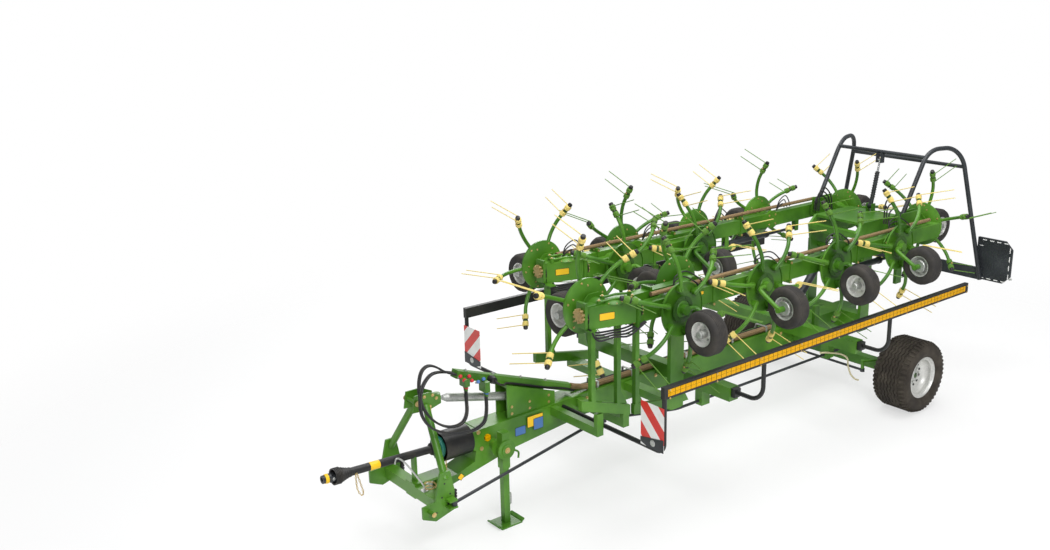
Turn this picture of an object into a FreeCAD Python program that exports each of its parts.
import FreeCAD, Part
import math
import os

# Trailed hay tedder, folded for the road: fourteen tined rotors on two wings,
# carried on a two-wheeled chassis with a forced-steering axle.
# Millimetres.  -X is the hitch, -Y the machine's left, +Z up.
# The origin is on the ground, at mid length and on the centre plane.

V = FreeCAD.Vector
X, Y, Z = V(1, 0, 0), V(0, 1, 0), V(0, 0, 1)

# ---------------------------------------------------------------- stations
HALF_LENGTH = 4030.0        # tip of the drive-shaft yoke to the origin
HITCH_X = -3331.0           # lower hitch pins
SWIVEL_X = -2940.0          # upright pivot between headstock and drawbar
JACK_X = -2450.0
JACK_Y = -268.0            # inboard of the swinging steering rod
JACK_W = 60.0
JACK_WALL = 9.0
RAIL_FRONT_X = -1670.0
RAIL_REAR_X = 2955.0
AXLE_X = 2468.0
MAST_X = 2610.0
ROTOR_X = -1006.0           # foremost rotor of each outer row
CENTRE_ROTOR_X = 3425.0     # plane of the two rear rotors

# ------------------------------------------------------------------ levels
ROTOR_Z = 1867.0
LEFT_INNER_RISE = 60.0      # the left inner row folds in a little higher
RIGHT_INNER_DROP = 50.0     # and the right one a little lower
BEAM_TOP_Z = 900.0
BEAM_BOTTOM_Z = 690.0
RAIL_TOP_Z = 1434.0
HITCH_Z = 491.0
TOP_LINK_Z = 1285.0

# ------------------------------------------------------------------ rotors
PITCH = 1100.0              # between neighbouring rotors
ROW_Y = 1000.0              # disc plane of the outer rows
INNER_ROW_Y = 510.0         # disc plane of the inner rows
INNER_SHIFT = 690.0         # inner row's stagger against the outer row
CENTRE_ROTOR_Y = 550.0
ARMS = 6
DISC_R = 250.0
DISC_T = 6.0
DOME_H = 45.0
HUB_R = 78.0
SPINDLE_R = 45.0
RUNNING_GAP = 0.05          # radial, in every plain bearing
ARM_R = 19.0
ARM_ROOT_R = 185.0
ARM_DIP_R = 330.0
ARM_DIP = 42.0
ARM_KNEE_R = 480.0
ARM_KNEE = 16.0
ARM_END_R = 655.0
ARM_RISE = 92.0             # arm's end above the disc plane
COIL_R = 33.0
COIL_L = 52.0
COIL_CLAMP = 26.0
CAP_L = 22.0
# Turn of each chain's first rotor, from the row towards the ground wheels.
PHASES = {"outer left": 42.0, "inner left": 21.0, "outer right": 57.0,
          "inner right": 39.0, "centre": 42.0}
FINGER_R = 4.8
FINGER_L = 405.0
FINGER_SPLAY = 20.0         # degrees outwards of the rotor's axis

# ------------------------------------------------------- gear cases, beams
CASE_TOP = 65.0             # case face above the disc plane
CASE_R = 105.0
WING_OFFSET = 185.0         # beam centre above the disc plane
WING_W = 100.0
WING_H = 160.0

# ------------------------------------------------------------ small wheels
WHEEL_R = 203.0
WHEEL_W = 165.0
WHEEL_RIM_R = 108.0
WHEEL_OFFSET = 300.0        # below the disc plane
WHEEL_DROP = 147.0
CENTRE_WHEEL_DROP = 67.0
STUB_R = 15.0
AXLE_TUBE_R = 21.0
AXLE_TUBE_SIDE = 132.0
WHEEL_HUB_R = 38.0
WHEEL_HUB_L = 150.0

# ----------------------------------------------------------- road wheels
TYRE_R = 407.0
TYRE_W = 431.0
TRACK_Y = 1127.0
RIM_R = 225.0
KINGPIN_Y = 790.0
KINGPIN_R = 32.0
AXLE_BOX = 110.0
ROAD_STUB_R = 38.0

# ------------------------------------------------------------------- frame
BEAM_HALF_W = 110.0
RAIL_Y = 1473.0
RAIL_H = 105.0
RAIL_W = 45.0
TUBE_R = 21.0
MAST_Y = 380.0
LIFT_PIVOT_Z = 1600.0
LIFT_PIN_R = 30.0

# ------------------------------------------------------------------ hitch
HITCH_SPREAD = 965.0
HITCH_PIN_R = 18.3
DAMPER_R = 38.0
DAMPER_EYE_H = 25.0
DAMPER_PIN_R = 12.0
SWIVEL_PIN_R = 28.0
FACE_GAP = 0.3              # between flat faces of two bodies
HITCH_PIN_L = 75.0
TOP_PIN_R = 15.9
PLATE_T = 20.0

# ------------------------------------------------------------------ hoops
HOOP_R = 26.0
HOOP_ARC_R = 280.0
HOOP_FOOT = V(2930, 591, 2032)       # right-hand hoop; the left one mirrors it
HOOP_FRONT = V(3354, 600, 2751)
HOOP_BACK = V(3830, 735, 2751)
HOOP_END = V(3955, 1050, 1190)
HOOP_PIN_R = 16.0
TAIL_BAR_Z = 1182.0
TAIL_BAR_H = 144.0
TAIL_IN_Y = 967.0
TAIL_OUT_Y = 1405.0
TAIL_LOW_Z = 1190.0
TAIL_TOP_Z = 1695.0
TAIL_T = 30.0


# --------------------------------------------------------------- helpers
def box(x0, x1, y0, y1, z0, z1):
    """Box between two corners, given in any order."""
    low = V(min(x0, x1), min(y0, y1), min(z0, z1))
    return Part.makeBox(abs(x1 - x0), abs(y1 - y0), abs(z1 - z0), low)


def rod(a, b, r):
    """Cylinder from point a to point b."""
    return Part.makeCylinder(r, (b - a).Length, a, b - a)


def cone(a, b, ra, rb):
    return Part.makeCone(ra, rb, (b - a).Length, a, b - a)


def fuse(shapes):
    """One solid out of pieces that touch or overlap."""
    whole = shapes[0].multiFuse(shapes[1:]) if len(shapes) > 1 else shapes[0]
    return whole.removeSplitter()


def group(shapes):
    return Part.makeCompound(shapes)


def save(name, shape):
    shape.exportStep("parts/%s.step" % name)


def path_wire(points, radii):
    """Straight runs through points, joined by a tangent arc at each inner one."""
    edges = []
    last = points[0]
    for before, at, after, radius in zip(points, points[1:], points[2:], radii):
        u = (before - at).normalize()
        w = (after - at).normalize()
        half = u.getAngle(w) / 2.0
        back = radius / math.tan(half)
        start, end = at + u * back, at + w * back
        centre_way = (u + w).normalize()
        middle = at + centre_way * (radius / math.sin(half) - radius)
        edges.append(Part.LineSegment(last, start).toShape())
        edges.append(Part.Arc(start, middle, end).toShape())
        last = end
    edges.append(Part.LineSegment(last, points[-1]).toShape())
    return Part.Wire(edges)


def bent_tube(points, bend_r, r):
    """Round bar that follows points."""
    wire = path_wire(points, [bend_r] * (len(points) - 2))
    ring = Part.Wire(Part.makeCircle(r, points[0], points[1] - points[0]))
    return wire.makePipeShell([ring], True, False)


def cord_radii(points):
    """Largest arc radii that the runs of a cord's route allow."""
    radii = []
    for before, at, after in zip(points, points[1:], points[2:]):
        u, w = before - at, after - at
        radii.append(CORD_SHARE * min(u.Length, w.Length) * math.tan(u.getAngle(w) / 2.0))
    return radii


def plate(points, thickness, way):
    """Flat plate: an outline of points, thickened along way."""
    face = Part.Face(Part.makePolygon(points + [points[0]]))
    return face.extrude(way * thickness)


def revolve(profile, axis=Z):
    """Solid of revolution about an axis through the origin."""
    face = Part.Face(Part.makePolygon(profile + [profile[0]]))
    return face.revolve(V(0, 0, 0), axis, 360)


def placed(shape, origin, x_way, z_way):
    """Copy of a shape whose own X and Z point along the given ways."""
    y_way = z_way.cross(x_way)
    m = FreeCAD.Matrix(x_way.x, y_way.x, z_way.x, origin.x,
                       x_way.y, y_way.y, z_way.y, origin.y,
                       x_way.z, y_way.z, z_way.z, origin.z,
                       0, 0, 0, 1)
    copy = shape.copy()
    copy.Placement = FreeCAD.Placement(m).multiply(shape.Placement)
    return copy


# ------------------------------------------------- where the rotors stand
def rotor_places():
    """Name, disc centre, way down in work, row line, turn, axle-tube side."""
    places = []
    pitch_turn = 180.0 / ARMS
    for side, name in ((-1, "left"), (1, "right")):
        down = Y * side
        for k in range(4):
            at = V(ROTOR_X + k * PITCH, side * ROW_Y, ROTOR_Z)
            turn = PHASES["outer " + name]
            places.append(("%s_%d" % (name, 5 - k), at, down, X,
                           turn if k % 2 == 0 else pitch_turn - turn, 1 if k % 2 == 0 else -1))
        first = ROTOR_X + side * INNER_SHIFT
        rise = LEFT_INNER_RISE if name == "left" else -RIGHT_INNER_DROP
        for k in range(2):
            at = V(first + k * PITCH, side * INNER_ROW_Y, ROTOR_Z + rise)
            turn = PHASES["inner " + name]
            places.append(("%s_%d" % (name, 6 + k), at, down * -1, X,
                           turn if k % 2 == 0 else pitch_turn - turn, 1 if k % 2 == 0 else -1))
        at = V(CENTRE_ROTOR_X, side * CENTRE_ROTOR_Y, ROTOR_Z)
        turn = PHASES["centre"]
        places.append(("%s_1" % name, at, X, Y,
                       turn if name == "left" else pitch_turn - turn, -side))
    return places


# ---------------------------------------------------------------- rotors
def arm_and_tines():
    """One arm in the XZ plane: +X outwards, +Z down in work."""
    root = V(ARM_ROOT_R, 0, ARM_R)
    dip = V(ARM_DIP_R, 0, ARM_DIP)
    knee = V(ARM_KNEE_R, 0, ARM_KNEE)
    end = V(ARM_END_R, 0, -ARM_RISE)
    pieces = [bent_tube([root, dip, knee, end], 90, ARM_R)]
    back = (knee - end).normalize()
    out = back * -1
    first = end + back * 8
    second = first + back * COIL_L
    third = second + back * COIL_CLAMP
    fourth = third + back * COIL_L
    pieces.append(rod(end + out * CAP_L, end + back * 10, ARM_R + 3))
    pieces.append(rod(first, second, COIL_R))
    pieces.append(rod(second, third, ARM_R + 6))
    pieces.append(rod(third, fourth, COIL_R))
    splay = math.radians(FINGER_SPLAY)
    way = V(math.sin(splay), 0, math.cos(splay))
    side = V(0, COIL_R - FINGER_R, 0)
    for at in (first + back * 2 * FINGER_R, fourth - back * 2 * FINGER_R):
        pieces.append(rod(at + side, at + side + way * FINGER_L, FINGER_R))
    return fuse(pieces)


def rotor():
    """Dished disc with six arms; +Z is down in work, hub bored."""
    rim, top = DISC_R, -DOME_H
    profile = [V(HUB_R, 0, top), V(HUB_R, 0, top + DISC_T), V(rim * 0.62, 0, top + 12),
               V(rim - 8, 0, 0), V(rim - 8, 0, 14), V(rim, 0, 14), V(rim, 0, -DISC_T),
               V(rim * 0.64, 0, top + 4)]
    disc = revolve(profile)
    bore = SPINDLE_R + RUNNING_GAP
    hub = revolve([V(bore, 0, top - 12), V(HUB_R, 0, top - 12),
                   V(HUB_R, 0, 18), V(bore, 0, 18)])
    arm = arm_and_tines()
    pieces = [disc, hub]
    clamp = box(ARM_ROOT_R - 20, DISC_R - 6, -28, 28, -16, 2 * ARM_R + 6)
    for k in range(ARMS):
        for piece in (arm, clamp):
            turned = piece.copy()
            turned.rotate(V(0, 0, 0), Z, 360.0 / ARMS * k)
            pieces.append(turned)
    return fuse(pieces)


def rotors():
    template = rotor()
    for name, at, down, line, turn, tube_side in rotor_places():
        turned = template.copy()
        turned.rotate(V(0, 0, 0), Z, turn)
        save("rotor_" + name, placed(turned, at, line, down))


# ---------------------------------------------------------- small wheels
def wheel_centre(at, down):
    drop = CENTRE_WHEEL_DROP if down == X else WHEEL_DROP
    return at + down * WHEEL_OFFSET - Z * drop


def small_wheel():
    """Tyre, rim and hub about the Z axis, bored for its stub."""
    r, w = WHEEL_R, WHEEL_W / 2
    rim = WHEEL_RIM_R
    tyre = revolve([V(rim, 0, -w + 22), V(rim + 14, 0, -w + 6), V(r - 45, 0, -w),
                    V(r - 12, 0, -w + 16), V(r, 0, -w + 42), V(r, 0, w - 42),
                    V(r - 12, 0, w - 16), V(r - 45, 0, w), V(rim + 14, 0, w - 6),
                    V(rim, 0, w - 22)])
    hub_r, hub_l = WHEEL_HUB_R, WHEEL_HUB_L / 2
    rim_part = revolve([V(hub_r - 4, 0, -12), V(rim - 30, 0, 6), V(rim - 14, 0, -w + 20),
                        V(rim + 2, 0, -w + 20), V(rim + 2, 0, w - 20),
                        V(rim - 14, 0, w - 20), V(rim - 24, 0, 18), V(hub_r - 4, 0, 2)])
    bore = STUB_R + RUNNING_GAP
    hub = revolve([V(bore, 0, -hub_l), V(hub_r, 0, -hub_l),
                   V(hub_r, 0, hub_l), V(bore, 0, hub_l)])
    return fuse([tyre, rim_part, hub])


def small_wheels_and_axles():
    template = small_wheel()
    axles = []
    for name, at, down, line, turn, side in rotor_places():
        centre = wheel_centre(at, down)
        save("wheel_" + name, placed(template, centre, Z, line))
        reach = line * (side * AXLE_TUBE_SIDE)
        beyond = V(reach).normalize()
        start = at + down * (AXLE_TUBE_R + 20) - beyond * AXLE_TUBE_R
        knee = start + beyond * AXLE_TUBE_R + reach
        end = centre + reach
        post = rod(at - down * CASE_TOP, at + down * (2 * AXLE_TUBE_R + 22), SPINDLE_R)
        tube = bent_tube([start, knee, end], 48, AXLE_TUBE_R)
        eye = rod(end - beyond * (AXLE_TUBE_SIDE - WHEEL_HUB_L / 2 - 4),
                  end + beyond * (AXLE_TUBE_R + 6), AXLE_TUBE_R + 7)
        stub = rod(end, centre - beyond * (WHEEL_HUB_L / 2 + 6), STUB_R)
        nut = rod(centre - beyond * (WHEEL_HUB_L / 2 + 0.3),
                  centre - beyond * (WHEEL_HUB_L / 2 + 14), STUB_R + 8)
        axles.append(fuse([post, tube, eye, stub, nut]))
    save("wheel_axles", group(axles))


# ---------------------------------------------------------------- wings
FLANGE_T = 14.0
FLANGE_LIP = 34.0           # how far a flange stands out of its beam
CASE_FLANGE_R = 150.0


def octagon(at, way, across, r, thickness):
    """Eight-sided plate, r to its corners, standing on at along way."""
    up = way.cross(across)
    corners = []
    for k in range(8):
        angle = math.radians(22.5 + 45 * k)
        corners.append(at + across * (r * math.cos(angle)) + up * (r * math.sin(angle)))
    return plate(corners, thickness, way)


def gear_case(at, down, line):
    """Case over the disc, with its octagonal flange, reaching up to the beam."""
    foot = at - down * CASE_TOP
    neck = foot - down * 30
    return fuse([rod(foot, neck, CASE_R - 25),
                 octagon(neck, down * -1, line, CASE_FLANGE_R, FLANGE_T),
                 rod(neck, at - down * (WING_OFFSET + WING_W / 2), CASE_R)])


def row_beam(x0, x1, plane_y, down, z):
    y = plane_y - down.y * WING_OFFSET
    return box(x0, x1, y - WING_W / 2, y + WING_W / 2, z - WING_H / 2, z + WING_H / 2)


def beam_flange(x, plane_y, down, z):
    """Bolted joint round a row beam."""
    y = plane_y - down.y * WING_OFFSET
    half_w = WING_W / 2 + CORRIDOR_LIP
    half_h = WING_H / 2 + FLANGE_LIP
    return box(x - FLANGE_T, x + FLANGE_T, y - half_w, y + half_w, z - half_h, z + half_h)


CORRIDOR_LIP = 8.0          # the rows' beams pass close, so flanges hardly widen them
LINK_W = 110.0
LINK_H = 200.0
BEAM_END = 60.0             # beam ahead of the link box
LINK_AHEAD = {"left": (354.0, 154.0), "right": (114.0, 374.0)}  # outer, inner rotor
CENTRE_BEAM_X = CENTRE_ROTOR_X - WING_OFFSET
CLUTCH_R = 65.0
CLUTCH_HUB_R = 42.0
CLUTCH_T = 34.0
CLUTCH_FINGERS = 10
FOLD_R = 34.0
FOLD_FRONT_X = 1510.0
FOLD_REAR_X = 2770.0
FOLD_Y = 800.0
FOLD_Z = 1690.0
FOLD_LUG = 40.0


def link_box(a, b):
    """Box beam between the two rows, from a to b, upright sides."""
    way = (b - a).normalize()
    across = way.cross(Z) * (LINK_W / 2)
    low = V(0, 0, -LINK_H / 2)
    corners = [a + across + low, b + across + low, b - across + low, a - across + low]
    lid = V(0, 0, LINK_H / 2)
    knob = (a + b) * 0.5 + lid
    return fuse([plate(corners, LINK_H, Z), rod(knob, knob + Z * 22, LINK_W * 0.45)])


def wing_rows(side, name):
    """Outer and inner rotor places of a wing, and its link box's two ends."""
    down = Y * side
    rows = [p for p in rotor_places() if p[0].startswith(name) and not p[0].endswith("_1")]
    outer = [p for p in rows if p[2] == down]
    inner = [p for p in rows if p[2] != down]
    ahead_outer, ahead_inner = LINK_AHEAD[name]
    mid_z = (ROTOR_Z + inner[0][1].z) / 2
    a = V(outer[0][1].x - ahead_outer, side * (ROW_Y - WING_OFFSET), mid_z)
    b = V(inner[0][1].x - ahead_inner, side * (INNER_ROW_Y + WING_OFFSET), mid_z)
    return outer, inner, a, b


def wing(side, name):
    down = Y * side
    outer, inner, a, b = wing_rows(side, name)
    pieces = [gear_case(p[1], p[2], p[3]) for p in outer + inner]
    beam_end = CENTRE_BEAM_X - WING_W / 2
    pieces.append(row_beam(a.x - BEAM_END, beam_end, side * ROW_Y, down, ROTOR_Z))
    fold, far = inner[0][1], inner[-1][1]
    pieces.append(row_beam(b.x - BEAM_END, far.x + 90, side * INNER_ROW_Y, down * -1, fold.z))
    for x in (a.x - BEAM_END + FLANGE_T, outer[1][1].x - PITCH / 2, outer[2][1].x - PITCH / 2,
              outer[3][1].x - PITCH / 2):
        pieces.append(beam_flange(x, side * ROW_Y, down, ROTOR_Z))
    for x in (b.x - BEAM_END + FLANGE_T, far.x - PITCH / 2):
        pieces.append(beam_flange(x, side * INNER_ROW_Y, down * -1, fold.z))
    pieces.append(link_box(a, b))
    y = side * FOLD_Y
    for x in (FOLD_FRONT_X, FOLD_REAR_X):
        for way in (-1, 1):
            near = y + way * (FOLD_LUG / 2 + FACE_GAP)
            pieces.append(box(x - 30, x + 30, near, near + way * 10, FOLD_Z - 32,
                              ROTOR_Z - WING_H / 2 + 5))
    save("wing_" + name, fuse(pieces))


def finger_clutches():
    """Star clutches on the foremost beam of each wing."""
    stars = []
    for side, name in ((-1, "left"), (1, "right")):
        outer, inner, a, b = wing_rows(side, name)
        end, z = (b, inner[0][1].z) if b.x < a.x else (a, outer[0][1].z)
        back = V(end.x - BEAM_END - FACE_GAP, end.y, z)
        pieces = [rod(back, back - X * CLUTCH_T, CLUTCH_HUB_R)]
        finger = box(back.x - CLUTCH_T, back.x - 6, end.y - 9, end.y + 9, z, z + CLUTCH_R)
        for k in range(CLUTCH_FINGERS):
            turned = finger.copy()
            turned.rotate(back, X, 360.0 / CLUTCH_FINGERS * k)
            pieces.append(turned)
        stars.append(fuse(pieces))
    save("finger_clutches", group(stars))


def fold_cylinders():
    """Hydraulic cylinders that fold the wings, slung under the outer beams."""
    cylinders = []
    for side in (-1, 1):
        y = side * FOLD_Y
        a, b = V(FOLD_FRONT_X, y, FOLD_Z), V(FOLD_REAR_X, y, FOLD_Z)
        mouth = a + (b - a) * 0.58
        half = Y * (FOLD_LUG / 2)
        cylinders.append(fuse([rod(a - half, a + half, 30), rod(b - half, b + half, 30),
                               rod(a, b, FOLD_R * 0.5), rod(a + X * 45, mouth, FOLD_R),
                               rod(mouth - X * 30, mouth, FOLD_R + 6)]))
    save("fold_cylinders", group(cylinders))


BUNDLE_R = 20.0


def hose_bundles():
    """Wrapped hoses that lie clipped along the tops of the outer beams."""
    bundles = []
    for side, name in ((-1, "left"), (1, "right")):
        outer, inner, a, b = wing_rows(side, name)
        y = side * (ROW_Y - WING_OFFSET)
        z = ROTOR_Z + WING_H / 2 + FLANGE_LIP + BUNDLE_R + FACE_GAP
        x0, x1 = a.x + 150, CENTRE_BEAM_X - WING_W
        bundles.append(rod(V(x0, y, z), V(x1, y, z), BUNDLE_R))
    save("hose_bundles", group(bundles))


LEG_Y = 400.0
LEG_FOOT_Z = 1150.0
MAST_T = 40.0
LIFT_PLATE_T = 30.0
EYE_HALF_W = 24.0           # half width of a cylinder rod's eye
LUG_T = 16.0
BASE_PIN_R = 14.0


def eye_lugs(at, x_half, z0, z1):
    """Two lugs that flank a cylinder rod's eye."""
    lugs = []
    for way in (-1, 1):
        near = at.y + way * (EYE_HALF_W + FACE_GAP)
        lugs.append(box(at.x - x_half, at.x + x_half, near, near + way * LUG_T, z0, z1))
    return group(lugs)


def base_clevis(at, half, floor_z):
    """Two ears and a pin that carry a cylinder's barrel on a floor."""
    pieces = [rod(at - Y * (half + LUG_T), at + Y * (half + LUG_T), BASE_PIN_R)]
    for way in (-1, 1):
        near = at.y + way * (half + FACE_GAP)
        pieces.append(box(at.x - 30, at.x + 30, near, near + way * LUG_T, floor_z, at.z + 30))
    return fuse(pieces)


def centre_frame():
    """Cross beam, gear cases of the rear rotors, lift plates, lugs and legs."""
    x = CENTRE_BEAM_X
    half = ROW_Y - WING_OFFSET + WING_W / 2
    pieces = [box(x - WING_W / 2, x + WING_W / 2, -half, half,
                  ROTOR_Z - WING_H / 2, ROTOR_Z + WING_H / 2)]
    deck_z = ROTOR_Z + 100
    for side in (-1, 1):
        pieces.append(gear_case(V(CENTRE_ROTOR_X, side * CENTRE_ROTOR_Y, ROTOR_Z), X, Y))
        y = side * (MAST_Y - MAST_T / 2 - LIFT_PLATE_T - 20)
        pieces.append(plate([V(MAST_X - 110, y, LIFT_PIVOT_Z - 90),
                             V(MAST_X + 80, y, LIFT_PIVOT_Z - 90),
                             V(x, y, ROTOR_Z - 40), V(x, y, deck_z),
                             V(MAST_X - 60, y, deck_z),
                             V(MAST_X - 180, y, ROTOR_Z)], LIFT_PLATE_T, Y * side))
        leg = side * LEG_Y
        pieces.append(box(x - 70, x + 40, leg - 20, leg + 20, LEG_FOOT_Z, ROTOR_Z))
        foot_y = side * HOOP_FOOT.y
        for way in (-1, 1):
            near = foot_y + way * (HOOP_BOSS_HALF + FACE_GAP)
            pieces.append(box(HOOP_FOOT.x - 60, x, near, near + way * 18,
                              ROTOR_Z, HOOP_FOOT.z + 45))
        pieces.append(rod(V(HOOP_FOOT.x, foot_y - 46, HOOP_FOOT.z),
                          V(HOOP_FOOT.x, foot_y + 46, HOOP_FOOT.z), HOOP_PIN_R))
    inner_y = MAST_Y - MAST_T / 2 - 20 - LIFT_PLATE_T / 2
    pieces.append(box(MAST_X - 60, x, -inner_y, inner_y, deck_z - 30, deck_z))
    tube_x, tube_z = LIFT_EYE.x, ROTOR_Z - 60
    pieces.append(box(tube_x - 38, tube_x + 38, -inner_y, inner_y, tube_z, tube_z + 70))
    pieces.append(eye_lugs(LIFT_EYE, 34, LIFT_EYE.z - 34, tube_z + 5))
    pieces.append(base_clevis(HOOP_BASE, HOOP_BORE_R + 5, deck_z - 5))
    frame = fuse(pieces)
    pin_hole = rod(V(MAST_X, -MAST_Y, LIFT_PIVOT_Z), V(MAST_X, MAST_Y, LIFT_PIVOT_Z),
                   LIFT_PIN_R + RUNNING_GAP)
    save("centre_frame", frame.cut(pin_hole))


# --------------------------------------------------------------- chassis
DRAWBAR_REAR_X = RAIL_FRONT_X + 300
ARM_STATIONS = (RAIL_FRONT_X + 1269, RAIL_FRONT_X + 3206)
ARM_END_Y = 1100.0
ARM_BOTTOM_Z, ARM_TOP_Z = 865.0, 1000.0
TUBE_Z = 955.0              # level run of the rails' carrying tubes
TONGUE_Z0, TONGUE_Z1 = 450.0, 540.0
BRACKET_X0 = RAIL_FRONT_X - 599
BRACKET_X1 = RAIL_FRONT_X - 60
BRACKET_HALF = 90.0
BRACKET_T = 12.0
DAMPER_REAR = V(RAIL_FRONT_X - 395, 0, 1030)
JACK_SLEEVE_Z0, JACK_SLEEVE_Z1 = 540.0, 880.0
JACK_TOP_Z = 600.0
JACK_PIVOT_Z = 720.0
REST_Y = 750.0
REST_W = 46.0
REST_ARM_Z0, REST_ARM_Z1 = 800.0, 880.0
REST_PAD = 95.0             # from a rest post's middle to its pad's inner edge
REST_PAD_OUT = 35.0         # and to its outer edge
HOLDER_FRONT = V(RAIL_FRONT_X - 1080, 0, 1420)
HOLDER_REAR = V(RAIL_FRONT_X + 190, 0, 960)
HOLDER_HALF_H = 35.0
HOLDER_HALF_W = 45.0


def holder_underside(x):
    """Height of the hose holder's lower face at a given x."""
    run, fall = HOLDER_REAR.x - HOLDER_FRONT.x, HOLDER_FRONT.z - HOLDER_REAR.z
    middle = HOLDER_FRONT.z - fall * (x - HOLDER_FRONT.x) / run
    return middle - HOLDER_HALF_H * math.hypot(run, fall) / run


def rest_post(x, y, z0, z1, width):
    """Upright that a folded wing lies on, with its pad and corner gusset."""
    half = width / 2
    pad_in = y - math.copysign(REST_PAD, y)
    return fuse([box(x - half, x + half, y - REST_W / 2, y + REST_W / 2, z0, z1),
                 box(x - half - 15, x + half + 15, y + math.copysign(REST_PAD_OUT, y), pad_in,
                     z1 - 12, z1),
                 plate([V(x + half, y - 5, z0 + 30), V(x + half + 90, y - 5, z0 + 30),
                        V(x + half, y - 5, z0 + 190)], 10, Y)])


def sloping_rail(x0, z0, x1, z1, y):
    """Cross-piece along the machine that the posts stand on."""
    h = 95
    return plate([V(x0, y - REST_W / 2, z0), V(x1, y - REST_W / 2, z1),
                  V(x1, y - REST_W / 2, z1 - h), V(x0, y - REST_W / 2, z0 - h)], REST_W, Y)


def link_underside(name):
    side = -1 if name == "left" else 1
    return wing_rows(side, name)[2].z - LINK_H / 2


def drawbar():
    nose = SWIVEL_X + 350
    outline = [V(SWIVEL_X, 0, TONGUE_Z0), V(SWIVEL_X, 0, TONGUE_Z1),
               V(SWIVEL_X + 110, 0, TONGUE_Z1),
               V(nose - 60, 0, TONGUE_Z1 + 60), V(nose, 0, BEAM_TOP_Z - 15),
               V(DRAWBAR_REAR_X, 0, BEAM_TOP_Z), V(DRAWBAR_REAR_X, 0, BEAM_BOTTOM_Z),
               V(nose + 350, 0, BEAM_BOTTOM_Z - 90)]
    outline = [p - Y * BEAM_HALF_W for p in outline]
    body = plate(outline, 2 * BEAM_HALF_W, Y)
    boss = rod(V(SWIVEL_X, 0, TONGUE_Z0), V(SWIVEL_X, 0, TONGUE_Z1), 70)
    body = fuse([body, boss])
    narrow = box(SWIVEL_X - 200, nose - 90, -400, 400, 0, TONGUE_Z0 - 1)
    body = body.cut(narrow)
    bore = rod(V(SWIVEL_X, 0, 0), V(SWIVEL_X, 0, 900), SWIVEL_PIN_R + RUNNING_GAP)
    pieces = [body.cut(bore)]
    for way in (-1, 1):
        y = way * (BRACKET_HALF - BRACKET_T)
        pieces.append(plate([V(BRACKET_X0, y, BEAM_TOP_Z - 30), V(BRACKET_X1, y, BEAM_TOP_Z - 30),
                             V(BRACKET_X1, y, holder_underside(BRACKET_X1) - FACE_GAP),
                             V(BRACKET_X0, y, holder_underside(BRACKET_X0) - FACE_GAP)],
                            BRACKET_T, Y * way))
    saddle_x = BRACKET_X0 + 40
    saddle_z = holder_underside(saddle_x + 40) - FACE_GAP
    pieces.append(box(saddle_x, saddle_x + 40, -BRACKET_HALF, BRACKET_HALF,
                      saddle_z - 30, saddle_z))
    pieces.append(rod(DAMPER_REAR - Y * BRACKET_HALF, DAMPER_REAR + Y * BRACKET_HALF,
                      DAMPER_PIN_R))
    pieces.append(box(BELL_BACK_X + FACE_GAP, nose + 5, -BEAM_HALF_W, BEAM_HALF_W,
                      DRIVE_Z - 90, BEAM_TOP_Z - 20))
    pieces.append(rod(V(JACK_X, -BEAM_HALF_W, JACK_PIVOT_Z), V(JACK_X, JACK_Y, JACK_PIVOT_Z), 45))
    outer = JACK_W / 2 + JACK_WALL
    plate_y = JACK_Y + outer
    pieces.append(rod(V(JACK_X, plate_y, JACK_PIVOT_Z), V(JACK_X, plate_y + 16, JACK_PIVOT_Z), 90))
    pieces.append(box(JACK_X - outer, JACK_X + outer, JACK_Y - outer, plate_y,
                      JACK_SLEEVE_Z0, JACK_SLEEVE_Z1))
    shaft = JACK_W / 2 + FACE_GAP
    well = box(JACK_X - shaft, JACK_X + shaft, JACK_Y - shaft, JACK_Y + shaft,
               JACK_SLEEVE_Z0, JACK_SLEEVE_Z1 - 12)
    relay_z = RELAY.z - RELAY_FOOT - FACE_GAP
    pieces.append(box(RELAY.x - 45, RELAY.x + 45, -BEAM_HALF_W, RELAY.y - 45,
                      relay_z - 20, relay_z))
    pieces.append(box(RELAY.x - 45, RELAY.x + 45, -BEAM_HALF_W + 10, -BEAM_HALF_W - 10,
                      relay_z - 20, RELAY.z))
    top = link_underside("left") - FACE_GAP
    front, rear = RAIL_FRONT_X - 305, RAIL_FRONT_X + 260
    pieces.append(sloping_rail(front, 1190, rear, 1000, -REST_Y))
    for x in (RAIL_FRONT_X - 95, RAIL_FRONT_X + 210):
        pieces.append(box(x - 35, x + 35, -BEAM_HALF_W, -REST_Y - REST_W / 2,
                          REST_ARM_Z0, REST_ARM_Z1))
        pieces.append(box(x - 35, x + 35, -REST_Y + REST_W / 2, -REST_Y - REST_W / 2,
                          REST_ARM_Z0, 1010))
    for x, foot_z, width in ((RAIL_FRONT_X - 170, 1080, 46), (RAIL_FRONT_X + 125, 990, 46)):
        pieces.append(rest_post(x, -REST_Y, foot_z, top, width))
    whole = fuse(pieces)
    save("drawbar", whole.cut(well))


MAST_LEN = 80.0
GUIDE_X = 55.0


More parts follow.
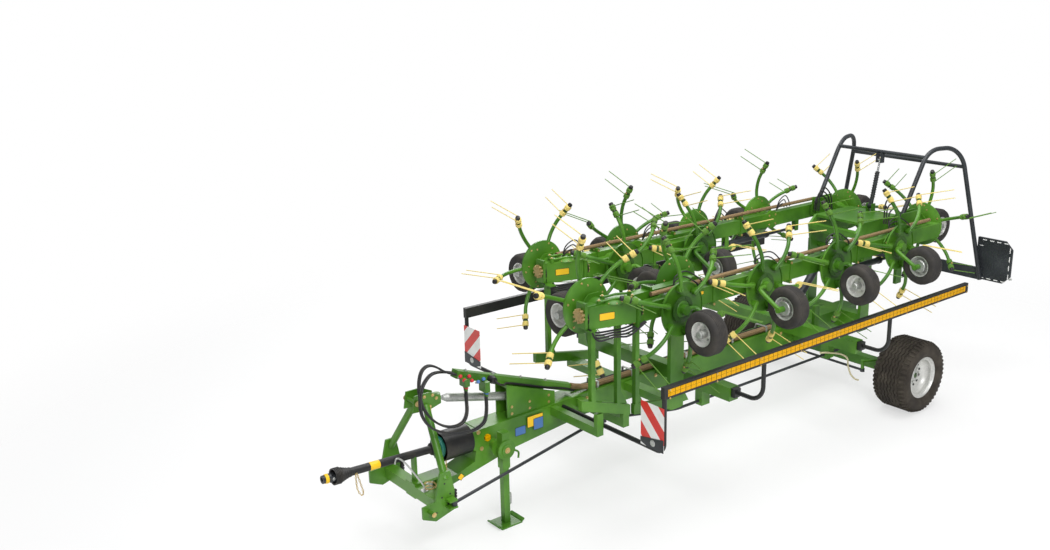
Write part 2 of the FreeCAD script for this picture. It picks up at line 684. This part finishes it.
def chassis():
    """Main beam, arms, axle beam, mast, rests and the steering rod's guides."""
    rear = MAST_X + 250
    pieces = [box(DRAWBAR_REAR_X, rear, -BEAM_HALF_W, BEAM_HALF_W, BEAM_BOTTOM_Z, BEAM_TOP_Z)]
    for x in ARM_STATIONS:
        pieces.append(box(x - 60, x + 60, -ARM_END_Y, ARM_END_Y, ARM_BOTTOM_Z, ARM_TOP_Z))
        pieces.append(box(x - GUIDE_X, x + GUIDE_X, REAR_BEND.y - 45, REAR_BEND.y + 45,
                          REAR_BEND.z - 40, ARM_BOTTOM_Z + 5))
    half = AXLE_BOX / 2
    axle_z = TYRE_R
    pieces.append(box(AXLE_X - half, AXLE_X + half, -KINGPIN_Y, KINGPIN_Y,
                      axle_z - half, axle_z + half))
    pieces.append(box(AXLE_X - 90, AXLE_X + 90, -BEAM_HALF_W, BEAM_HALF_W,
                      axle_z + half - 5, BEAM_BOTTOM_Z + 5))
    for side in (-1, 1):
        at = V(AXLE_X, side * KINGPIN_Y, axle_z - half)
        pieces.append(rod(at, at + Z * AXLE_BOX, KINGPIN_R + 28))
        y = side * MAST_Y
        pieces.append(box(MAST_X - MAST_LEN, MAST_X + MAST_LEN, y - MAST_T / 2, y + MAST_T / 2,
                          BEAM_BOTTOM_Z, LIFT_PIVOT_Z + 70))
        pieces.append(box(MAST_X - 930, MAST_X - 850, side * (MAST_Y - MAST_T / 2),
                          side * (MAST_Y + MAST_T / 2), BEAM_BOTTOM_Z + 30, BEAM_TOP_Z + 280))
    pieces.append(box(MAST_X - 930, MAST_X - 850, -MAST_Y, MAST_Y, BEAM_BOTTOM_Z + 30,
                      BEAM_TOP_Z - 20))
    pieces.append(box(MAST_X - MAST_LEN, MAST_X + MAST_LEN, -MAST_Y, MAST_Y,
                      BEAM_BOTTOM_Z, BEAM_TOP_Z))
    pieces.append(rod(V(MAST_X, -MAST_Y - 30, LIFT_PIVOT_Z), V(MAST_X, MAST_Y + 30, LIFT_PIVOT_Z),
                      LIFT_PIN_R))
    pieces.append(base_clevis(LIFT_BASE, LIFT_BORE_R + 5, BEAM_TOP_Z - 5))
    arm_x = RAIL_FRONT_X + 845
    pieces.append(box(arm_x - 60, arm_x + 60, -REST_Y - REST_W / 2, REST_Y + REST_W / 2,
                      REST_ARM_Z0, REST_ARM_Z1))
    beam_under = ROTOR_Z - WING_H / 2 - FLANGE_LIP - 6
    pieces.append(rest_post(arm_x, -REST_Y, REST_ARM_Z0 + 5, beam_under, 170))
    pieces.append(sloping_rail(RAIL_FRONT_X + 308, 985, arm_x + 60, 895, -REST_Y))
    pieces.append(rest_post(RAIL_FRONT_X + 345, -REST_Y, 900, link_underside("left") - 60, 46))
    pieces.append(sloping_rail(RAIL_FRONT_X + 350, 1050, RAIL_FRONT_X + 1180, 890, REST_Y))
    pieces.append(rest_post(RAIL_FRONT_X + 530, REST_Y, 930,
                            link_underside("right") - FACE_GAP, 46))
    frame = fuse(pieces)
    for side in (-1, 1):
        at = V(AXLE_X, side * KINGPIN_Y, 0)
        frame = frame.cut(rod(at, at + Z * 900, KINGPIN_R + RUNNING_GAP))
    guide = rod(REAR_BEND, V(DRAG_END.x, REAR_BEND.y, REAR_BEND.z), STEER_ROD_R + RUNNING_GAP)
    save("chassis", frame.cut(guide))


def side_rails():
    """Protective rails, the tubes that carry them and the sign frames."""
    rails = []
    for side in (-1, 1):
        y = side * RAIL_Y
        inner = side * (RAIL_Y - RAIL_W)
        pieces = [box(RAIL_FRONT_X, RAIL_REAR_X, y, inner, RAIL_TOP_Z - RAIL_H, RAIL_TOP_Z)]
        mid_y = side * (RAIL_Y - RAIL_W / 2)
        for x in ARM_STATIONS:
            start = side * (ARM_END_Y + FACE_GAP)
            pieces.append(box(x - 40, x + 40, start, start + side * 50, TUBE_Z - 45, TUBE_Z + 40))
            pieces.append(bent_tube([V(x, start, TUBE_Z), V(x, mid_y, TUBE_Z),
                                     V(x, mid_y, RAIL_TOP_Z - RAIL_H + 5)], 150, TUBE_R))
        x = RAIL_FRONT_X + TUBE_R
        z = BEAM_TOP_Z - 60
        pieces.append(bent_tube([V(x, side * BEAM_HALF_W, z), V(x, mid_y, z),
                                 V(x, mid_y, RAIL_TOP_Z - RAIL_H + 5)], 80, TUBE_R))
        rails.append(fuse(pieces))
    save("side_rails", group(rails))


REFLECTOR_H = 62.0


def reflectors():
    strips = []
    for side in (-1, 1):
        z = RAIL_TOP_Z - RAIL_H / 2
        strips.append(box(RAIL_FRONT_X + 40, RAIL_REAR_X - 60, side * RAIL_Y,
                          side * (RAIL_Y + 3), z - REFLECTOR_H / 2, z + REFLECTOR_H / 2))
        strips.append(rod(V(JACK_X - 60, side * BEAM_HALF_W, 790),
                          V(JACK_X - 60, side * (BEAM_HALF_W + 14), 790), 32))
    save("reflectors", group(strips))


def sign_panels():
    signs = []
    for side in (-1, 1):
        outer = side * (RAIL_Y - RAIL_W / 2 + TUBE_R)
        x = RAIL_FRONT_X - FACE_GAP
        z0 = BEAM_TOP_Z - 50
        signs.append(box(x - 3, x, outer, outer - side * 280, z0, z0 + 400))
    save("sign_panels", group(signs))


def hose_holder():
    way = (HOLDER_REAR - HOLDER_FRONT).normalize()
    up = way.cross(Y) * -HOLDER_HALF_H
    side = Y * HOLDER_HALF_W
    corners = [HOLDER_FRONT + side - up, HOLDER_FRONT + side + up,
               HOLDER_FRONT - side + up, HOLDER_FRONT - side - up]
    pieces = [plate(corners, (HOLDER_REAR - HOLDER_FRONT).Length, way)]
    for route in (FRONT_LOOP, REAR_LOOP):
        end = route[-1]
        block_z = end.z + SOCKET_L
        pieces.append(box(end.x - 25, end.x + 25, end.y - 18, -HOLDER_HALF_W + 5,
                          block_z - 5, holder_underside(end.x) + 20))
        for strand in (0, 1):
            foot = end + STRAND_STEP * strand
            pieces.append(rod(foot, foot + Z * SOCKET_L, SOCKET_R))
    save("hose_holder", fuse(pieces))


HOSE_R = 9.0
CORD_SHARE = 0.45           # of a cord's run that an arc takes up
STRAND_STEP = V(0, 26, 0)   # from a hose to the one beside it
SOCKET_R = 12.0
SOCKET_L = 45.0
# Hoses leave the holder's front end square to it and come up into their sockets.
FRONT_LOOP = [V(-2750, -36, 1420), V(-2844, -36, 1454), V(-2938, -40, 1536),
              V(-3040, -62, 1584), V(-3133, -98, 1552), V(-3200, -168, 1436),
              V(-3221, -252, 1312), V(-3168, -312, 1200), V(-3062, -328, 1120),
              V(-2938, -300, 1076), V(-2818, -242, 1066), V(-2736, -172, 1112),
              V(-2702, -110, 1192), V(-2702, -110, 1280)]
REAR_LOOP = [V(-2750, 10, 1420), V(-2844, 10, 1454), V(-2960, -18, 1480),
             V(-3086, -132, 1504), V(-3203, -234, 1482), V(-3264, -290, 1396),
             V(-3285, -335, 1292), V(-3245, -366, 1195), V(-3155, -374, 1120),
             V(-3030, -364, 1060), V(-2890, -345, 1018), V(-2750, -310, 996),
             V(-2622, -250, 1000), V(-2555, -185, 1025), V(-2515, -140, 1075),
             V(-2504, -122, 1140), V(-2504, -122, 1180)]


def hoses():
    """Four hydraulic hoses that hang in loops in front of their holder."""
    strands = []
    for route in (FRONT_LOOP, REAR_LOOP):
        for strand in (0, 1):
            points = [p + STRAND_STEP * strand for p in route]
            radii = cord_radii(points)
            ring = Part.Wire(Part.makeCircle(HOSE_R, points[0], points[1] - points[0]))
            strands.append(path_wire(points, radii).makePipeShell([ring], True, False))
        print("hose bend radii", [round(r) for r in radii])
    save("hoses", group(strands))


DRIVE_Z = 790.0
DRIVE_RISE = 53.0
BELL_R = 132.0
GUARD_R = 34.0
DRIVE_JOINT_X = SWIVEL_X + 45


BELL_BACK_X = SWIVEL_X + 285


def bell_guard():
    back = BELL_BACK_X
    outer = rod(V(SWIVEL_X + 5, 0, DRIVE_Z), V(back, 0, DRIVE_Z), BELL_R)
    inner = rod(V(SWIVEL_X - 20, 0, DRIVE_Z), V(back - 12, 0, DRIVE_Z), BELL_R - 6)
    save("bell_guard", outer.cut(inner))


def drive_line(x):
    """Point on the drive shaft's axis at a given x."""
    share = (DRIVE_JOINT_X - x) / (DRIVE_JOINT_X + HALF_LENGTH)
    return V(x, 0, DRIVE_Z + DRIVE_RISE * share)


def drive_guard():
    a, b = drive_line(DRIVE_JOINT_X), drive_line(-HALF_LENGTH + 230)
    c, d = drive_line(-HALF_LENGTH + 240), drive_line(-HALF_LENGTH + 95)
    body = fuse([rod(a, b, GUARD_R), cone(a, drive_line(DRIVE_JOINT_X - 130), 90, 50),
                 cone(c, d, 42, 70)])
    way = (d - a).normalize()
    core = rod(a - way * 20, d + way * 20, 19)
    hollow = cone(drive_line(-HALF_LENGTH + 200), drive_line(-HALF_LENGTH + 80), 30, 64)
    save("drive_guard", body.cut(core).cut(hollow))


def drive_shaft():
    a, b = drive_line(DRIVE_JOINT_X + 15), drive_line(-HALF_LENGTH + 108)
    tip = drive_line(-HALF_LENGTH)
    shaft = rod(a, b, 18.9)
    yoke = rod(drive_line(-HALF_LENGTH + 75), tip, 34)
    fork = fuse([box(-HALF_LENGTH + 50, -HALF_LENGTH + 130, -42, -28, b.z - 22, b.z + 22),
                 box(-HALF_LENGTH + 50, -HALF_LENGTH + 130, 28, 42, b.z - 22, b.z + 22),
                 rod(V(-HALF_LENGTH + 115, -42, b.z), V(-HALF_LENGTH + 115, 42, b.z), 14)])
    body = fuse([shaft, yoke, fork])
    bore = rod(drive_line(-HALF_LENGTH - 10), drive_line(-HALF_LENGTH + 60), 17.5)
    save("drive_shaft", body.cut(bore))


# -------------------------------------------------------------- headstock
def headstock():
    half = HITCH_SPREAD / 2 - HITCH_PIN_L / 2
    bar_x0, bar_x1 = HITCH_X + 90, HITCH_X + 190
    pieces = [box(bar_x0, bar_x1, -half, half, HITCH_Z - 50, HITCH_Z + 50)]
    top_x, top_z = HITCH_X + 300, TOP_LINK_Z
    for side in (-1, 1):
        y = side * half
        pieces.append(plate([V(HITCH_X - 60, y, HITCH_Z - 55), V(HITCH_X + 60, y, HITCH_Z - 110),
                             V(HITCH_X + 240, y, HITCH_Z - 60), V(HITCH_X + 250, y, HITCH_Z + 120),
                             V(HITCH_X + 215, y, HITCH_Z + 300), V(HITCH_X + 120, y, HITCH_Z + 300),
                             V(HITCH_X + 60, y, HITCH_Z + 60), V(HITCH_X - 60, y, HITCH_Z + 50)],
                            PLATE_T, Y * -side))
        pieces.append(rod(V(HITCH_X, y, HITCH_Z),
                          V(HITCH_X, y + side * HITCH_PIN_L, HITCH_Z), HITCH_PIN_R))
        foot = V(HITCH_X + 170, y - side * PLATE_T / 2, HITCH_Z + 230)
        head = V(top_x - 60, side * 75, top_z - 40)
        pieces.append(rod(foot, head, 32))
    for side in (-1, 1):
        y = side * 62
        pieces.append(plate([V(top_x - 185, y, top_z - 80), V(top_x - 20, y, top_z - 90),
                             V(top_x + 91, y, top_z - 60), V(top_x + 91, y, top_z + 10),
                             V(top_x - 20, y, top_z + 65), V(top_x - 160, y, top_z + 65)],
                            14, Y * side))
    eye_z = top_z - 35
    for way in (-1, 1):
        z0 = eye_z + way * (DAMPER_EYE_H + FACE_GAP)
        z1 = z0 + way * 16
        pieces.append(box(top_x - 30, top_x + 40, -68, 68, z0, z1))
        pieces.append(box(top_x + 40, SWIVEL_X, -36, 36, z0, z1))
        pieces.append(rod(V(SWIVEL_X, 0, min(z0, z1)), V(SWIVEL_X, 0, max(z0, z1)), 36))
    pieces.append(rod(V(SWIVEL_X, 0, eye_z - 45), V(SWIVEL_X, 0, eye_z + 45), DAMPER_PIN_R))
    pieces.append(rod(V(top_x - 145, -90, top_z), V(top_x - 145, 90, top_z), TOP_PIN_R))
    for z0, z1 in ((LUG_HALF_GAP, LUG_HALF_H), (-LUG_HALF_H, -LUG_HALF_GAP)):
        z = STEER_LUG.z
        pieces.append(box(STEER_LUG.x - 60, STEER_LUG.x + 16, -half, STEER_LUG.y - 30,
                          z + z0, z + z1))
    pieces.append(rod(STEER_LUG - Z * LUG_HALF_H, STEER_LUG + Z * LUG_HALF_H, 14))
    pieces.append(box(bar_x0, SWIVEL_X, -75, 75, TONGUE_Z1 + 0.5, TONGUE_Z1 + 22))
    pieces.append(box(bar_x0, SWIVEL_X, -75, 75, TONGUE_Z0 - 22, TONGUE_Z0 - 0.5))
    for z in (TONGUE_Z1 + 0.5, TONGUE_Z0 - 22):
        pieces.append(rod(V(SWIVEL_X, 0, z), V(SWIVEL_X, 0, z + 21.5), 75))
    pieces.append(rod(V(SWIVEL_X, 0, TONGUE_Z0 - 22), V(SWIVEL_X, 0, TONGUE_Z1 + 22), SWIVEL_PIN_R))
    cradle_x = HITCH_X + 140
    at = drive_line(cradle_x)
    cradle = box(cradle_x - 12, cradle_x + 12, -30, 30, HITCH_Z + 45, at.z)
    pieces.append(cradle.cut(rod(drive_line(cradle_x - 60), drive_line(cradle_x + 60),
                                 GUARD_R + FACE_GAP)))
    save("headstock", fuse(pieces))


def damper():
    """Spring damper between the headstock's top and the drawbar."""
    front = V(SWIVEL_X, 0, TOP_LINK_Z - 35)
    rear = DAMPER_REAR
    way = (rear - front).normalize()
    eye = rod(front - Z * DAMPER_EYE_H, front + Z * DAMPER_EYE_H, 30)
    body = fuse([eye, rod(front, front + way * 80, 12),
                 cone(front + way * 60, front + way * 110, 20, DAMPER_R),
                 rod(front + way * 110, rear - way * 150, DAMPER_R),
                 rod(rear - way * 150, rear, 14),
                 rod(rear - Y * 20, rear + Y * 20, 26)])
    pins = group([rod(front - Z * 60, front + Z * 60, DAMPER_PIN_R + RUNNING_GAP),
                  rod(rear - Y * 60, rear + Y * 60, DAMPER_PIN_R + RUNNING_GAP)])
    save("damper", body.cut(pins))


# ------------------------------------------------------------------- jack
def jack():
    """Inner leg and foot, which draw up into the sleeve on the drawbar."""
    half = JACK_W / 2
    leg = box(JACK_X - half, JACK_X + half, JACK_Y - half, JACK_Y + half, 10, JACK_TOP_Z)
    foot = box(JACK_X - 110, JACK_X + 110, JACK_Y - 100, JACK_Y + 100, 0, 14)
    save("jack_leg", fuse([leg, foot]))


# --------------------------------------------------------------- steering
LUG_EYE_H = 24.0            # half height of the front rod's eye
LUG_HALF_GAP = LUG_EYE_H + FACE_GAP
LUG_HALF_H = LUG_HALF_GAP + 14.0
STEER_LUG = V(HITCH_X + 215, -490, HITCH_Z + 25)
RELAY = V(RAIL_FRONT_X + 200, -380, 730)
RELAY_FOOT = 60.0           # the relay boss reaches this far below the rods
REAR_BEND = V(ARM_STATIONS[0] - 350, -700, 750)
DRAG_END = V(ARM_STATIONS[1] + 560, -700, 750)
BALL = V(AXLE_X - 232, KINGPIN_Y - 110, TYRE_R + 15)
STEER_ROD_R = 14.0


def steering():
    """Rods from the headstock back to the axle, and the rod across it."""
    pin = rod(STEER_LUG - Z * 60, STEER_LUG + Z * 60, 14 + RUNNING_GAP)
    front = fuse([rod(STEER_LUG, RELAY, STEER_ROD_R),
                  rod(STEER_LUG - Z * LUG_EYE_H, STEER_LUG + Z * LUG_EYE_H, 24),
                  rod(RELAY - Z * RELAY_FOOT, RELAY + Z * 40, 32)])
    save("steer_rod_front", front.cut(pin))
    start = V(RELAY.x + 82, RELAY.y, RELAY.z)
    pieces = [bent_tube([start, REAR_BEND, DRAG_END], 200, STEER_ROD_R)]
    pieces += [rod(p - Z * 30, p + Z * 30, 28) for p in (start, DRAG_END)]
    save("steer_rod_rear", fuse(pieces))
    a, b = V(BALL.x, -BALL.y, BALL.z - 45), V(BALL.x, BALL.y, BALL.z - 45)
    save("track_rod", fuse([rod(a, b, STEER_ROD_R), rod(a - Z * 18, a + Z * 18, 26),
                            rod(b - Z * 18, b + Z * 18, 26)]))


def knuckle(side, name):
    y = side * KINGPIN_Y
    z, half = TYRE_R, AXLE_BOX / 2
    low, high = z - half - 0.5, z + half + 0.5
    pieces = [rod(V(AXLE_X, y, low - 22), V(AXLE_X, y, high + 22), KINGPIN_R)]
    for z0 in (low - 22, high):
        pieces.append(rod(V(AXLE_X, y, z0), V(AXLE_X, y, z0 + 22), 60))
    wall = side * (KINGPIN_Y + 62)
    pieces.append(box(AXLE_X - 55, AXLE_X + 55, wall, wall + side * 22, low - 22, high + 22))
    for z0 in (low - 22, high):
        pieces.append(box(AXLE_X - 55, AXLE_X + 55, y, wall + side * 5, z0, z0 + 22))
    pieces.append(rod(V(AXLE_X, wall, z), V(AXLE_X, side * (TRACK_Y + 60), z), ROAD_STUB_R))
    ball = V(BALL.x, side * BALL.y, BALL.z)
    pieces.append(rod(V(AXLE_X, y, high + 15), V(ball.x, ball.y, high + 15), 14))
    pieces.append(rod(V(ball.x, ball.y, BALL.z - 26.5), V(ball.x, ball.y, high + 34), 20))
    save("knuckle_" + name, fuse(pieces))


def road_wheel(side, name):
    r, w, rim = TYRE_R, TYRE_W / 2, RIM_R
    tyre = revolve([V(rim - 12, 0, -w + 60), V(rim + 25, 0, -w + 30), V(r - 90, 0, -w),
                    V(r - 30, 0, -w + 14), V(r, 0, -w + 70), V(r, 0, w - 70),
                    V(r - 30, 0, w - 14), V(r - 90, 0, w), V(rim + 25, 0, w - 30),
                    V(rim - 12, 0, w - 60)])
    bore = ROAD_STUB_R + RUNNING_GAP
    dish = revolve([V(bore, 0, -60), V(85, 0, -60), V(85, 0, 40), V(rim - 60, 0, 20),
                    V(rim - 25, 0, -w + 70), V(rim - 10, 0, -w + 70), V(rim - 10, 0, w - 70),
                    V(rim - 25, 0, w - 70), V(rim - 45, 0, 60), V(100, 0, 75),
                    V(85, 0, 90), V(bore, 0, 90)])
    wheel = fuse([tyre, dish])
    save("road_wheel_" + name, placed(wheel, V(AXLE_X, side * TRACK_Y, TYRE_R), X, Y * side))


# ------------------------------------------------------------ lift, hoops
LIFT_BORE_R = 45.0
HOOP_BORE_R = 24.0


def cylinder(base, eye, name, bore_r, share):
    """Barrel from base, rod to eye; share of the length is barrel."""
    way = (eye - base).normalize()
    mouth = base + (eye - base) * share
    half = bore_r + 5
    barrel = fuse([rod(base - Y * half, base + Y * half, bore_r * 1.2),
                   rod(base, mouth, bore_r)])
    barrel = barrel.cut(rod(base + way * 70, mouth + way, bore_r * 0.5 + RUNNING_GAP))
    pin = rod(base - Y * 2 * half, base + Y * 2 * half, BASE_PIN_R + RUNNING_GAP)
    piston = fuse([rod(base + way * 75, eye, bore_r * 0.5),
                   rod(eye - Y * EYE_HALF_W, eye + Y * EYE_HALF_W, bore_r * 0.8)])
    save(name + "_barrel", barrel.cut(pin))
    save(name + "_rod", piston)


LIFT_BASE = V(MAST_X - 900, 0, BEAM_TOP_Z + 60)
LIFT_EYE = V(MAST_X - 137, 0, ROTOR_Z - 120)
HOOP_BASE = V(CENTRE_BEAM_X - 70, 0, ROTOR_Z + 165)
FRONT_BAR = HOOP_FOOT + (HOOP_FRONT - HOOP_FOOT) * 0.88
HOOP_EYE = V(FRONT_BAR.x - 6, 0, FRONT_BAR.z - 100)
HOOP_BOSS_HALF = 28.0


def mirrored(point, side):
    return V(point.x, side * point.y, point.z)


def tail_panel(side):
    """Marker panel behind a hoop, its upper outer corner rounded off."""
    x = HOOP_END.x + HOOP_R
    r = 90
    face = [V(x, side * TAIL_IN_Y, TAIL_LOW_Z), V(x, side * TAIL_IN_Y, TAIL_TOP_Z),
            V(x, side * (TAIL_OUT_Y - r), TAIL_TOP_Z), V(x, side * TAIL_OUT_Y, TAIL_TOP_Z - r),
            V(x, side * TAIL_OUT_Y, TAIL_LOW_Z + r), V(x, side * (TAIL_OUT_Y - r), TAIL_LOW_Z)]
    return plate(face, TAIL_T, X)


def hoops():
    """Two splayed hoops, their bars, the tail bar, marker panels and lamps."""
    pieces = []
    for side in (-1, 1):
        foot = mirrored(HOOP_FOOT, side)
        wire = [foot] + [mirrored(p, side) for p in (HOOP_FRONT, HOOP_BACK, HOOP_END)]
        pieces.append(bent_tube(wire, HOOP_ARC_R, HOOP_R))
        boss = Y * HOOP_BOSS_HALF
        pieces.append(rod(foot - boss, foot + boss, HOOP_R + 8))
        pieces.append(tail_panel(side))
        lamp_x = HOOP_END.x + HOOP_R + TAIL_T
        pieces.append(box(lamp_x - 5, HALF_LENGTH, side * 1066, side * 1292, 1248, 1339))
    pieces.append(rod(mirrored(FRONT_BAR, -1), mirrored(FRONT_BAR, 1), HOOP_R - 4))
    back_bar = HOOP_BACK + (HOOP_END - HOOP_BACK) * 0.15
    pieces.append(rod(mirrored(back_bar, -1), mirrored(back_bar, 1), HOOP_R - 4))
    tail_x = HOOP_END.x + HOOP_R
    pieces.append(box(tail_x - 15, tail_x + TAIL_T - 15, -HOOP_END.y, HOOP_END.y,
                      TAIL_BAR_Z, TAIL_BAR_Z + TAIL_BAR_H))
    pieces.append(eye_lugs(HOOP_EYE, 30, HOOP_EYE.z - 30, FRONT_BAR.z))
    frame = fuse(pieces)
    for side in (-1, 1):
        foot = mirrored(HOOP_FOOT, side)
        frame = frame.cut(rod(foot - Y * 40, foot + Y * 40, HOOP_PIN_R + RUNNING_GAP))
    save("hoop_frame", frame)


def main():
    os.makedirs("parts", exist_ok=True)
    rotors()
    small_wheels_and_axles()
    wing(-1, "left")
    wing(1, "right")
    centre_frame()
    drawbar()
    chassis()
    side_rails()
    reflectors()
    sign_panels()
    hose_holder()
    hoses()
    bell_guard()
    drive_guard()
    drive_shaft()
    headstock()
    damper()
    jack()
    steering()
    for side, name in ((-1, "left"), (1, "right")):
        knuckle(side, name)
        road_wheel(side, name)
    cylinder(LIFT_BASE, LIFT_EYE, "lift", LIFT_BORE_R, 0.72)
    cylinder(HOOP_BASE, HOOP_EYE, "hoop", HOOP_BORE_R, 0.75)
    finger_clutches()
    fold_cylinders()
    hose_bundles()
    hoops()


main()
